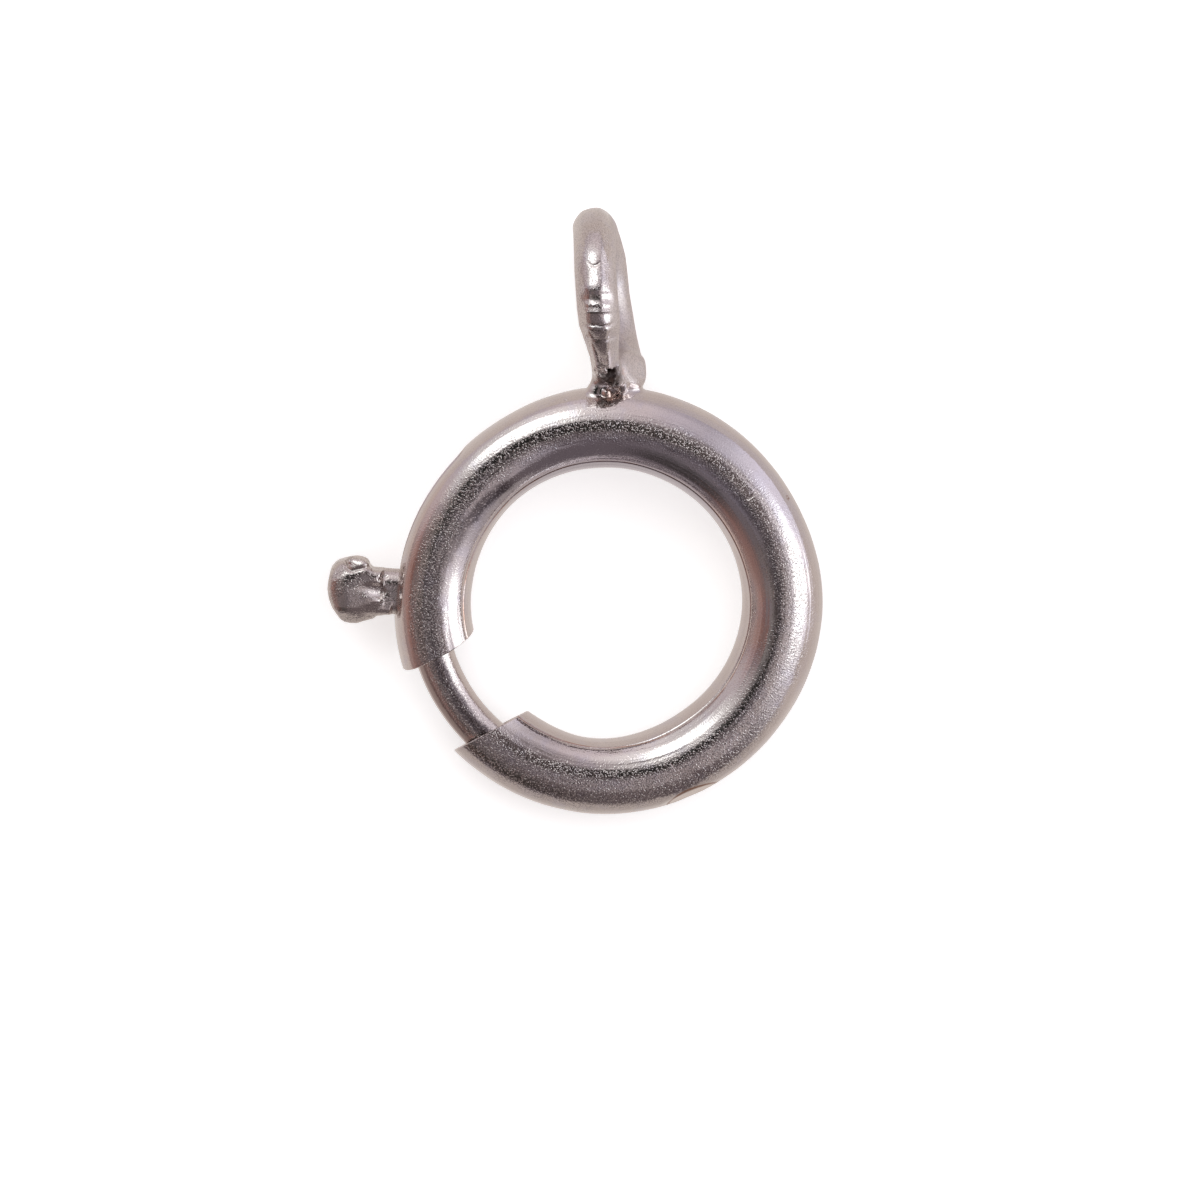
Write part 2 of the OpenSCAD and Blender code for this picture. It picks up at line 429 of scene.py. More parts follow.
def rim(offsets, cut, psi, grow):
    """One ring of points on a mouth's plane, a little out from or in from a surface."""

    def grown(phi, psi):
        out, up = offsets(phi, psi)
        c, s = np.cos(np.radians(psi)), np.sin(np.radians(psi))
        return out + grow * c, up + grow * s

    phi = mouth_angle(grown, cut, psi)
    return ring_place(phi, *grown(phi, psi))


def flatten_crimp(points):
    """Presses the small flat that the crimp leaves low on the ring's outer side."""
    lift = math.radians(CRIMP_LIFT)
    level = math.cos(lift)
    way = np.array([math.cos(CRIMP_TURN) * level, math.sin(CRIMP_TURN) * level, math.sin(lift)])
    past = points @ way - CRIMP_PLANE
    return points - np.maximum(past, 0.0)[:, None] * way


def uneven_skin(skin, sides):
    """The tube's skin with soft bumps that fade out at its mouths, and with the crimp's flat."""
    points = np.concatenate(skin)
    x, y, z = points.T
    swell = 0.0022 * ripple(x, y, z, 1.3, 3) + 0.0009 * ripple(x, y, z, 0.45, 4)
    outwards = points.copy()
    outwards[:, :2] -= points[:, :2] / np.hypot(x, y)[:, None] * RING_R
    outwards /= np.linalg.norm(outwards, axis=1)[:, None]
    ends = np.ones(len(skin))
    ends[:MOUTH_ROWS] = np.linspace(0.0, 1.0, MOUTH_ROWS)
    ends[-MOUTH_ROWS:] = np.linspace(1.0, 0.0, MOUTH_ROWS)
    points += outwards * (swell * np.repeat(ends, sides))[:, None]
    return list(flatten_crimp(points).reshape(len(skin), -1, 3))


def make_tube():
    psi = section_angles()
    skin = uneven_skin(tube_lines(skin_offsets, psi, SKIN_STEPS, MOUTH_BEVEL), len(psi))
    bore = tube_lines(bore_offsets, psi, BORE_STEPS, MOUTH_BEVEL)
    near_rims = [
        rim(skin_offsets, NEAR_CUT, psi, -MOUTH_BEVEL),
        rim(bore_offsets, NEAR_CUT, psi, MOUTH_BEVEL),
    ]
    far_rims = [
        rim(bore_offsets, FAR_CUT, psi, MOUTH_BEVEL),
        rim(skin_offsets, FAR_CUT, psi, -MOUTH_BEVEL),
    ]
    rings = skin + near_rims + bore[::-1] + far_rims
    faces = [wall_faces(len(rings), len(psi), len(rings))]
    return new_solid("clasp_ring_and_eye", np.concatenate(rings), faces)


def tube_field(x, y, z):
    """About how far a point is outside the tube's skin, near the eye."""
    phi = np.degrees(np.arctan2(y, x))
    middle, half_w = tube_width(phi)
    out = np.hypot(x, y)
    power = squareness(phi, out > middle)
    a = np.abs(out - middle) / half_w
    b = np.abs(z) / TUBE_HALF_H
    return ((a**power + b**power) ** (1.0 / power) - 1.0) * TUBE_HALF_H


def slot_layer(outline, level, lip, far_lip):
    """One ring of half the slot's space, seen from inside the tube outwards."""
    ends = SLOT_HALF_W - SLOT_HALF_H
    places = []
    for angle, side, high in outline:
        flare = lip + (far_lip - lip) * float(smooth_step(160.0, 142.0, angle))
        wider = flare if level > 1 else 0.0
        skin = float(skin_height(angle, high))
        out = (SLOT_FLOOR, skin - 0.6 * flare, skin + 0.4 * flare, SLOT_TOP)[level]
        share = (abs(side) - ends) / SLOT_HALF_H if side else 0.0
        shift = side + math.copysign(wider * share, side)
        places.append(ring_place(angle, out, high * (SLOT_HALF_H + wider) / SLOT_HALF_H, shift))
    return np.array(places)


def make_slot_cutter():
    """The slot's space: straight sides, round ends, and a lip that breaks its outer edge."""
    ends = SLOT_HALF_W - SLOT_HALF_H
    arc = np.radians(np.arange(0.0, 90.1, 7.5))
    cap = [(-ends - SLOT_HALF_H * math.cos(a), SLOT_HALF_H * math.sin(a)) for a in arc]
    near = LEVER_ANGLE - TRAVEL
    outline = [(near, s, h) for s, h in cap]
    for angle in np.linspace(near, LEVER_ANGLE, 70)[1:-1]:
        outline.append((angle, 0.0, SLOT_HALF_H))
    outline += [(LEVER_ANGLE, -s, h) for s, h in cap[::-1]]
    points = []
    for level in range(4):
        upper = slot_layer(outline, level, UPPER_LIP, UPPER_LIP)
        lower = slot_layer(outline, level, LOWER_LIP, LOWER_LIP_END)
        lower = lower[::-1][1:-1] * np.array([1.0, 1.0, -1.0])
        points.append(np.concatenate([upper, lower]))
    sides = len(points[0])
    count = len(outline)
    faces = [wall_faces(4, sides, 3)]
    rows = np.arange(1, count - 2)
    across = np.stack([rows, rows + 1, sides - rows - 1, sides - rows], -1)
    tips = np.array([[0, 1, sides - 1], [count - 1, count, count - 2]])
    top = 3 * sides
    caps = [across, tips, across[:, ::-1] + top, tips[:, ::-1] + top]
    return new_solid("slot_cutter", np.concatenate(points), faces + caps)


def skin_height(phi, z):
    """How far out the tube's skin lies at a height on its outer side."""
    middle, half_w = tube_width(phi)
    power = OUTER_SQUARENESS(phi)
    return middle + half_w * (1.0 - (abs(z) / TUBE_HALF_H) ** power) ** (1.0 / power)


# The eye: a loop of wire whose two ends stand side by side on the tube

FRONT_X = ([0, 30, 60, 90, 105, 120, 135, 150, 180],
           [-0.235, -0.222, -0.209, -0.168, -0.140, -0.100, -0.065, -0.051, -0.040])
FRONT_R = ([0, 95, 104, 112, 122, 135, 150, 180],
           [0.345, 0.345, 0.337, 0.305, 0.272, 0.237, 0.222, 0.222])
BACK_X = ([0, 30, 60, 90, 120, 150, 180],
          [-0.235, -0.165, -0.048, 0.018, 0.116, 0.215, 0.281])
BACK_R = ([0, 60, 120, 180], [0.345, 0.340, 0.340, 0.345])

FLANK_LEAN = 54.0
FACE_LEAN = 12.5
SHOULDER_LEAN = 36.0

# Dents and ridges across the front of the loop: angle down from its top, and height
FRONT_MARKS = (
    [78.0, 80.5, 83.2, 84.6, 87.6, 88.1, 91.6, 92.6, 95.0,
     99.2, 100.5, 101.6, 103.2, 110.8, 113.0],
    [0.0, -0.022, -0.026, -0.020, 0.007, -0.008, 0.019, 0.004, 0.0,
     0.002, -0.018, 0.010, 0.009, -0.030, -0.020],
)

# Beads and fillets of solder at the eye's foot: centre, radius and how softly they join it
SOLDER = [
    ((-0.02, 3.50, 0.32), 0.075, 0.05),
    ((0.24, 3.57, 0.33), 0.085, 0.05),
    ((0.10, 3.66, 0.42), 0.05, 0.05),
    ((-0.14, 3.66, 0.20), 0.13, 0.10),
    ((-0.21, 3.50, 0.20), 0.14, 0.10),
]
SOLDER_PIT = ((0.05, 3.80, 0.72), 0.17)
FOOT_REACH = ((0.16, 3.5, 0.0), 0.86)
FOOT_FROM = 3.62
FOOT_SIDE = 0.60


def strand(x, rho, beta, middle_x, radius, flanks):
    """How far a point is outside one half of the loop, which ends at 0 and 180 degrees."""
    past = np.maximum(np.maximum(-beta, beta - 180.0), 0.0)
    along = rho * np.radians(past)
    side = x - np.interp(beta, *middle_x)
    out = rho - EYE_R
    size = np.interp(beta, *radius)
    wire = np.sqrt(side**2 + out**2 + along**2) - size
    lean = math.radians(FLANK_LEAN)
    flank = np.abs(side) * math.sin(lean) + out * math.cos(lean) - size * (1.0 - 0.075 * flanks)
    face = math.radians(FACE_LEAN)
    front = out * math.cos(face) - side * math.sin(face) - size * (1.0 - 0.035 * flanks)
    solid = smooth_max(smooth_max(wire, flank, 0.045), front, 0.05)
    slant = math.radians(SHOULDER_LEAN)
    worn = flanks * smooth_step(66.0, 82.0, beta) * smooth_step(99.0, 94.0, beta)
    shoulder = side * math.sin(slant) + out * math.cos(slant) - size * (1.02 - 0.085 * worn)
    return smooth_max(solid, shoulder, 0.035)


def ball(x, y, z, centre, radius):
    """How far a point is outside a ball."""
    cx, cy, cz = centre
    return np.sqrt((x - cx) ** 2 + (y - cy) ** 2 + (z - cz) ** 2) - radius


def front_marks(x, rho, beta):
    """How far the dents and ridges stand out across the front of the loop."""
    side = x - np.interp(beta, *FRONT_X)
    curl = (beta - 61.8 + 230.0 * (side + 0.02) ** 2) / 0.8
    smile = np.exp(-(curl**2)) * smooth_step(0.13, 0.08, np.abs(side + 0.02))
    bow = np.clip(1.0 - ((beta - 63.5) / 13.5) ** 2, 0.0, 1.0) ** 2
    marks = np.interp(beta, *FRONT_MARKS) - 0.026 * bow - 0.011 * smile
    return marks * smooth_step(0.30, 0.16, np.abs(side)) * smooth_step(EYE_R, EYE_R + 0.1, rho)


def foot_slope(x, y, z):
    """How far a point is past the slanting side of the eye's foot."""
    return (x - FOOT_SIDE) * 0.76 + z * 0.55 + (y - 3.72) * 0.34


def eye_loop(x, y, z):
    """How far a point is outside the loop of wire."""
    up = y - EYE_Y
    rho = np.hypot(up, z)
    beta = np.degrees(np.arctan2(z, up))
    front_beta = np.where(beta < -90.0, beta + 360.0, beta)
    back_beta = np.where(beta > 90.0, 360.0 - beta, -beta)
    worn = smooth_step(25.0, 50.0, front_beta) * smooth_step(150.0, 125.0, front_beta)
    front = strand(x, rho, front_beta, FRONT_X, FRONT_R, worn) - front_marks(x, rho, front_beta)
    back = strand(x, rho, back_beta, BACK_X, BACK_R, 0.0)
    back = smooth_max(back, foot_slope(x, y, z) - smooth_step(4.15, 4.35, y), 0.06)
    loop = smooth_min(front, back, 0.004 + 0.05 * smooth_step(120.0, 165.0, np.abs(beta)))
    return loop + 0.0016 * ripple(x, y, z, 0.6, 11) + 0.0007 * ripple(x, y, z, 0.2, 12)


def eye_field(x, y, z):
    """How far a point is outside the eye, its solder and the tube's skin under it."""
    tube = tube_field(x, y, z)
    solid = smooth_min(eye_loop(x, y, z), tube + 0.004, 0.17)
    for centre, radius, soft in SOLDER:
        solid = smooth_min(solid, ball(x, y, z, centre, radius), soft)
    slope = np.maximum(foot_slope(x, y, z), x - FOOT_SIDE)
    fill = smooth_max(smooth_max(slope, np.maximum(FOOT_FROM - y, y - 4.02), 0.12), 0.02 - x, 0.1)
    solid = smooth_min(solid, np.maximum(fill, -0.35 - z), 0.09)
    pit = ball(x, y, z, *SOLDER_PIT) + 0.045 * ripple(x, y, z, 0.16, 14)
    rough = 0.012 * ripple(x, y, z, 0.10, 13) * smooth_step(0.22, 0.04, pit)
    solid = smooth_max(solid, -pit, 0.03) + rough
    solid = np.maximum(solid, -(tube + 0.09))
    return np.maximum(solid, np.minimum(ball(x, y, z, *FOOT_REACH), FOOT_FROM - y))


def make_ring():
    ring = make_tube()
    boolean(ring, make_slot_cutter(), "DIFFERENCE")
    eye = new_solid("eye", *surface_net(eye_field, *EYE_BOX, EYE_STEP))
    boolean(ring, eye, "UNION")
    finish_shape(ring, 32.0)
    return ring


# The thumb lever

HEAD_OUTLINE = [
    (327.6, 588), (328.2, 582), (330, 573), (332, 567.4), (336, 562.8), (340, 560.4), (344, 559.2),
    (350, 557.2), (356, 556.4), (361, 556.6), (365, 557.8), (368.5, 560.5), (371, 565.5),
    (374, 567.8), (383, 568.4), (383, 614.6), (377, 615.4), (373, 618.6), (369, 619.6),
    (363, 620.8), (357, 622.8), (350, 623.0), (344, 621.6), (340, 618.4), (336, 612.6),
    (332, 606.6), (329, 598),
]


def line_gap(x, y, ax, ay, bx, by):
    """The square of the distance in the plane to a straight line between two places."""
    ex, ey = bx - ax, by - ay
    t = np.clip(((x - ax) * ex + (y - ay) * ey) / (ex * ex + ey * ey), 0.0, 1.0)
    return (x - ax - t * ex) ** 2 + (y - ay - t * ey) ** 2


def outline_distance(x, y, corners):
    """Distance to a closed outline in the plane, negative inside it."""
    best = np.inf
    inside = False
    for (ax, ay), (bx, by) in zip(corners, corners[1:] + corners[:1]):
        best = np.minimum(best, line_gap(x, y, ax, ay, bx, by))
        rise = (by - ay) or 1e-9
        inside = inside ^ (((ay > y) != (by > y)) & (x < ax + (y - ay) * (bx - ax) / rise))
    return np.where(inside, -1.0, 1.0) * np.sqrt(best)


def path_distance(x, y, places, height):
    """Distance in the plane to a line through places in the photograph, at a height."""
    spots = [from_photo(px, py, height) for px, py in places]
    best = np.inf
    for a, b in zip(spots[:-1], spots[1:]):
        best = np.minimum(best, line_gap(x, y, *a, *b))
    return np.sqrt(best)


# Worn flats on the knob: a place in the photograph, its height, the way it faces and its softness
HEAD_FLATS = [
    (341, 568, 0.25, (-0.45, 0.50, 0.70), 0.08),
    (352, 571, 0.375, (-0.09, 0.07, 0.99), 0.06),
    (352, 594, 0.385, (0.02, -0.20, 0.97), 0.10),
    (350, 615, 0.26, (-0.10, -0.72, 0.68), 0.06),
    (368, 611, 0.27, (0.25, -0.62, 0.74), 0.06),
    (333, 592, 0.30, (-0.58, -0.12, 0.80), 0.10),
    (340, 600, -0.28, (-0.50, -0.30, -0.80), 0.04),
    (365, 575, -0.34, (0.25, 0.45, -0.85), 0.04),
]

# Grooves under the cap, at the neck's tab and in its crease: places, height, depth, half width
HEAD_DENTS = [
    ([(345, 563), (347, 568), (352, 571), (360, 568.5), (368, 567)], 0.3, 0.030, 0.030),
    ([(380, 579), (385, 577.5), (391, 576.5), (398, 575)], 0.25, 0.016, 0.026),
    ([(384, 592.0), (400, 591.5)], 0.25, 0.026, 0.040),
]
HEAD_EDGE = 0.15
HEAD_HALF_H = 0.405
SCOOP_FROM = (360.5, 590.5, 0.552)
SCOOP_TO = (386, 593.0, 0.375)
SCOOP_R = (0.165, 0.150)
STEM_HALF_W = 0.38
STEM_HALF_H = 0.25


def head_field(x, y, z):
    """How far a point is outside the knob."""
    corners = [from_photo(px, py) for px, py in HEAD_OUTLINE]
    flat = outline_distance(x, y, corners) + HEAD_EDGE
    high = np.abs(z) - (HEAD_HALF_H - HEAD_EDGE)
    head = (
        np.minimum(np.maximum(flat, high), 0.0)
        + np.hypot(np.maximum(flat, 0.0), np.maximum(high, 0.0))
        - HEAD_EDGE
    )
    for px, py, height, way, soft in HEAD_FLATS:
        sx, sy = from_photo(px, py, height)
        way = np.array(way) / np.linalg.norm(way)
        past = (x - sx) * way[0] + (y - sy) * way[1] + (z - height) * way[2]
        head = smooth_max(head, past, soft)
    kx, ky = from_photo(357, 562.5, 0.2)
    cap = np.sqrt(((x - kx) / 0.21) ** 2 + ((y - ky) / 0.11) ** 2 + ((z - 0.14) / 0.19) ** 2)
    return smooth_min(head, (cap - 1.0) * 0.11, 0.02)


def head_dents(x, y, z):
    """How deep the hand-made grooves of the knob's upper side are."""
    dents = 0.0
    for places, height, depth, half_w in HEAD_DENTS:
        away = path_distance(x, y, places, height)
        dents = dents + depth * np.exp(-((away / half_w) ** 2))
    return dents * smooth_step(-0.05, 0.12, z)


def scoop(x, y, z):
    """How far a point is outside the round hollow that runs from the knob down its stem."""
    a = np.array([*from_photo(*SCOOP_FROM), SCOOP_FROM[2]])
    b = np.array([*from_photo(*SCOOP_TO), SCOOP_TO[2]])
    way = b - a
    along = (x - a[0]) * way[0] + (y - a[1]) * way[1] + (z - a[2]) * way[2]
    t = np.clip(along / (way @ way), 0.0, 1.0)
    gap = np.sqrt(
        (x - a[0] - t * way[0]) ** 2 + (y - a[1] - t * way[1]) ** 2 + (z - a[2] - t * way[2]) ** 2
    )
    return gap - (SCOOP_R[0] + (SCOOP_R[1] - SCOOP_R[0]) * t)


def lever_field(x, y, z):
    """How far a point is outside the thumb lever."""
    turn = math.radians(LEVER_ANGLE)
    out = x * math.cos(turn) + y * math.sin(turn)
    beside = -x * math.sin(turn) + y * math.cos(turn)
    free = smooth_step(3.60, 3.70, out)
    corner = STEM_HALF_H - 0.13 * smooth_step(3.53, 3.60, out) * (beside > 0.0)
    wide = np.maximum(np.abs(beside) - (STEM_HALF_W - corner), 0.0)
    tall = np.maximum(np.abs(z) - (STEM_HALF_H - corner), 0.0)
    stem = np.hypot(wide, tall) - corner
    stem = np.maximum(stem, np.maximum(STEM_FROM - out, out - 4.05))
    body = smooth_min(head_field(x, y, z), stem, 0.05)
    body = smooth_max(body, -scoop(x, y, z) * free - 0.2 * (1.0 - free), 0.045)
    uneven = 0.0024 * ripple(x, y, z, 0.30, 21)
    body = body + (head_dents(x, y, z) + uneven) * free
    peg = np.maximum(np.hypot(beside, z) - PEG_R, np.maximum(PEG_FROM - out, out - STEM_FROM - 0.1))
    return np.minimum(body, peg)


def make_lever():
    lever = new_solid("clasp_thumb_lever", *surface_net(lever_field, *LEVER_BOX, LEVER_STEP))
    finish_shape(lever, 38.0)
    return lever


# The bolt

# Places near each end of the bolt, and how much thinner than its wire it is there
BOLT_ENDS = [0.0, 0.006, 0.02, 0.067, 0.075, 0.087]
BOLT_ENDS_LESS = [0.087, 0.075, 0.058, 0.008, 0.002, 0.0]
BOLT_STEPS = 230


def make_bolt():
    psi = np.radians(np.arange(0.0, 360.0, 6.0))
    length = math.radians(BOLT_TIP - BOLT_TAIL) * BOLT_R
    places = BOLT_ENDS + list(np.linspace(0.14, length - 0.14, BOLT_STEPS))
    places += [length - v for v in BOLT_ENDS[::-1]]
    radii = BOLT_ENDS_LESS + [0.0] * BOLT_STEPS + BOLT_ENDS_LESS[::-1]
    rings = []
    for place, less in zip(places, radii):
        wobble = 0.0012 * ripple(psi * 0.3, place, 0.0, 0.9, 31) if less == 0.0 else 0.0
        radius = BOLT_WIRE_R - less + wobble
        angle = BOLT_TAIL + math.degrees(place / BOLT_R)
        rings.append(ring_place(angle, BOLT_R + radius * np.cos(psi), radius * np.sin(psi)))
    bolt = new_solid("clasp_bolt_wire", *swept_solid(rings))
    around = np.radians(np.arange(0.0, 360.0, 7.5))
    hole = []
    for out, radius in ((2.83, PEG_R + 0.02), (3.28, PEG_R + 0.02), (3.40, PEG_R + 0.04)):
        up = radius * np.sin(around)
        hole.append(ring_place(LEVER_ANGLE, out, up, radius * np.cos(around)))
    boolean(bolt, new_solid("peg_hole", *swept_solid(hole)), "DIFFERENCE")
    finish_shape(bolt, 32.0)
    return bolt


# The spring

CLOSED_TURNS = 1.25
CLOSED_PITCH = 0.138
OPEN_PITCH = 0.28
COIL_STEPS = 26
WIRE_SIDES = 9


def spring_middle(turns, radius, length, all_turns):
    """Places on the coil after a number of turns, at a distance from its own middle line."""
    ends = CLOSED_TURNS * CLOSED_PITCH
    knots = [0.0, CLOSED_TURNS, all_turns - CLOSED_TURNS, all_turns]
    along = np.interp(turns, knots, [0.0, ends, length - ends, length])
    angle = SPRING_FROM - np.degrees(along / RING_R)
    out = RING_R + radius * np.cos(2.0 * math.pi * turns)
    return ring_place(angle, out, radius * np.sin(2.0 * math.pi * turns))


def make_spring():
    length = math.radians(SPRING_FROM - SPRING_TO) * RING_R
    open_turns = (length - 2.0 * CLOSED_TURNS * CLOSED_PITCH) / OPEN_PITCH
    all_turns = open_turns + 2.0 * CLOSED_TURNS
    turns = np.linspace(0.0, all_turns, int(all_turns * COIL_STEPS))
    middle = spring_middle(turns, COIL_R, length, all_turns)
    outer = spring_middle(turns, COIL_R + 1.0, length, all_turns)
    ahead = np.gradient(middle, axis=0)
    ahead /= np.linalg.norm(ahead, axis=1)[:, None]
    side = outer - middle
    side -= np.einsum("ij,ij->i", side, ahead)[:, None] * ahead
    side /= np.linalg.norm(side, axis=1)[:, None]
    other = np.cross(ahead, side)
    around = np.arange(WIRE_SIDES) * 2.0 * math.pi / WIRE_SIDES
    wire = np.full((len(turns), 1, 1), SPRING_WIRE_R)
    wire[[0, -1]] *= 0.8
    c, s = np.cos(around)[:, None], np.sin(around)[:, None]
    rings = middle[:, None] + wire * c * side[:, None] + wire * s * other[:, None]
    spring = new_solid("clasp_return_spring", *swept_solid(rings))
    finish_shape(spring, 40.0)
    return spring


# Materials


class Graph:
    """Short calls that add nodes to a material or world and link them."""

    def __init__(self, tree):
        self.tree = tree
        tree.nodes.clear()

    def node(self, kind, inputs=(), **settings):
        made = self.tree.nodes.new("ShaderNode" + kind)
        for key, value in settings.items():
            setattr(made, key, value)
        self.give(made, inputs)
        return made

    def give(self, made, inputs):
        """Sets inputs, by name or number, to a value or to what another node puts out."""
        for key, value in dict(inputs).items():
            if isinstance(value, bpy.types.NodeSocket):
                self.tree.links.new(value, made.inputs[key])
            else:
                made.inputs[key].default_value = value

    def math(self, operation, *values):
        return self.node("Math", enumerate(values), operation=operation).outputs[0]

    def vector(self, operation, *values):
        made = self.node("VectorMath", enumerate(values), operation=operation)
        scalar = operation in ("LENGTH", "DISTANCE", "DOT_PRODUCT")
        return made.outputs["Value" if scalar else "Vector"]

    def combine(self, *values):
        return self.node("CombineXYZ", enumerate(values)).outputs[0]

    def split(self, vector):
        return self.node("SeparateXYZ", [(0, vector)]).outputs

    def chain(self, operation, values):
        total = values[0]
        for value in values[1:]:
            total = self.math(operation, total, value)
        return total

    def times(self, *values):
        return self.chain("MULTIPLY", values)

    def plus(self, *values):
        return self.chain("ADD", values)

    def most(self, *values):
        return self.chain("MAXIMUM", values)

    def minus(self, a, b):
        return self.math("SUBTRACT", a, b)

    def apart(self, a, b):
        return self.math("ABSOLUTE", self.minus(a, b))

    def line(self, value, slope, start):
        return self.math("MULTIPLY_ADD", value, slope, start)

    def ramp(self, value, low, high, to_low=0.0, to_high=1.0, way="SMOOTHSTEP"):
        names = ("Value", "From Min", "From Max", "To Min", "To Max")
        inputs = zip(names, (value, low, high, to_low, to_high))
        return self.node("MapRange", inputs, interpolation_type=way).outputs[0]

    def band(self, value, low, above, below, high):
        """1 between two inner bounds, and 0 outside the two outer ones."""
        return self.times(self.ramp(value, low, above), self.ramp(value, high, below))

    def mix(self, share, a, b, blend="MIX"):
        made = self.node("Mix", [(0, share)], data_type="RGBA", blend_type=blend)
        for key, colour in ((6, a), (7, b)):
            self.give(made, {key: (*colour, 1.0) if isinstance(colour, tuple) else colour})
        return made.outputs[2]

    def mix_value(self, share, a, b):
        return self.node("Mix", {0: share, 2: a, 3: b}, data_type="FLOAT").outputs[0]

    def films(self, tint, *rows):
        """A colour under films, each given by its share and its own colour."""
        for share, film in rows:
            tint = self.mix(share, tint, film)
        return tint

    def dim(self, tint, shade):
        return self.mix(1.0, tint, self.combine(shade, shade, shade), "MULTIPLY")

    def locate(self):
        """Finds the point in millimetres: in the flat frame, along the ring and round the tube."""
        inputs = {
            "Vector": self.node("TexCoord").outputs["Object"],
            "Rotation": (-REST_TILT, 0.0, 0.0),
            "Scale": (1000.0, 1000.0, 1000.0),
        }
        self.place = self.node("Mapping", inputs, vector_type="POINT").outputs[0]
        self.x, self.y, self.z = self.split(self.place)
        squares = self.plus(self.times(self.x, self.x), self.times(self.y, self.y))
        self.out = self.math("POWER", squares, 0.5)
        self.along = self.times(self.math("ARCTAN2", self.y, self.x), RING_R)
        beside = self.minus(self.out, RING_R)
        self.round_it = self.times(self.math("ARCTAN2", self.z, beside), SKIN_R)

    def shifted(self, *way):
        return self.vector("ADD", self.place, way)

    def noise(self, scale, detail=2.0, roughness=0.5, distortion=0.0, at=None):
        names = ("Vector", "Scale", "Detail", "Roughness", "Distortion")
        inputs = zip(names, (at or self.place, scale, detail, roughness, distortion))
        return self.node("TexNoise", inputs, noise_dimensions="3D").outputs["Fac"]

    def streaks(self, per_along, per_round, shift, detail, roughness=0.5):
        """Noise drawn out along the tube, with its grain to a millimetre along and round it."""
        along, round_it = self.times(self.along, per_along), self.times(self.round_it, per_round)
        return self.noise(1.0, detail, roughness, at=self.combine(along, round_it, shift))

    def sway(self, scale, detail, width):
        """Soft unevenness to both sides of 0."""
        return self.times(self.minus(self.noise(scale, detail), 0.5), width)

    def across(self, middle, half):
        """How far across a wire or tube the point is: -1 at its inner side and 1 at its outer."""
        return self.math("DIVIDE", self.minus(self.out, middle), half)


def patch(g, centre, radius, soft, at=None):
    """1 near a place and 0 away from it, with a soft edge."""
    away = g.vector("DISTANCE", at or g.place, centre)
    return g.ramp(away, radius + soft, radius - soft)


def new_material(name):
    material = bpy.data.materials.new(name)
    material.use_nodes = True
    g = Graph(material.node_tree)
    shader = g.node("BsdfPrincipled")
    g.node("OutputMaterial", {"Surface": shader.outputs[0]})
    g.locate()
    return material, g, shader


def finish_metal(g, shader, colour, rough, height, depth):
    """Makes a shader bare metal: its relief is a height of 0 to 1 for a depth in millimetres."""
    bump = g.node("Bump", {"Strength": 1.0, "Distance": depth * 0.001, "Height": height})
    g.give(
        shader,
        {"Metallic": 1.0, "Base Color": colour, "Roughness": rough, "Normal": bump.outputs[0]},
    )


def dress(obj, material):
    obj.data.materials.clear()
    obj.data.materials.append(material)


def tumbled_grain(g, rubbed):
    """The height of tumbled silver's fine grain, and how much its specks darken the metal."""
    brushed = g.streaks(38.0, 17.0, 0.0, 1.0)
    fine = g.noise(46.0, 1.0)
    specks = g.ramp(g.noise(38.0, 0.5, at=g.shifted(7.0, 3.0, 5.0)), 0.55, 0.72)
    height = g.plus(g.times(brushed, 0.50), g.times(fine, 0.24), g.times(specks, 0.56))
    height = g.times(height, g.ramp(rubbed, 0.0, 1.0, 0.10, 1.0, "LINEAR"))
    dark = g.noise(42.0, 1.0, at=g.shifted(2.0, 9.0, 4.0))
    return height, g.mix_value(rubbed, 1.0, g.ramp(dark, 0.36, 0.56, 0.60, 1.0))


# Colours of the films, the dirt and the painted dark reflections on the ring
STAIN = (0.740, 0.690, 0.705)
LILAC = (0.690, 0.665, 0.735)
RED_BROWN = (0.800, 0.610, 0.540)
CRIMP_BROWN = (0.70, 0.57, 0.48)
# Painted dark reflection in a streak along the ring's left side
STREAK_PAINTED_SHADE = (0.130, 0.110, 0.118)
# Painted dark reflection in a thin line along the ring's crest
CREST_PAINTED_SHADE = (0.210, 0.180, 0.190)
COPPER = (0.80, 0.56, 0.43)
SOOT = (0.075, 0.052, 0.042)
MARK_BROWN = (0.30, 0.16, 0.10)
SEAM_BROWN = (0.54, 0.35, 0.27)

# Where soot, copper and a brown nick lie: strength, centre, radius and soft edge
SOOT_SPOTS = [
    (1.0, (0.05, 3.80, 0.58), 0.20, 0.09),
    (1.0, (-0.10, 3.36, 0.46), 0.06, 0.03),
    (0.5, (-0.17, 5.19, 1.50), 0.06, 0.05),
]
COPPER_SPOTS = [
    (0.45, (0.27, 3.86, 0.42), 0.06, 0.06),
    (0.5, (0.0, 3.47, 0.38), 0.10, 0.05),
]
NICK_SPOTS = [(0.7, (2.963, 1.765, 0.29), 0.045, 0.03)]


def spots(g, rows, at):
    """The strongest of some patches, each given after its strength."""
    return g.most(*[g.times(patch(g, *row, at=at), strength) for strength, *row in rows])


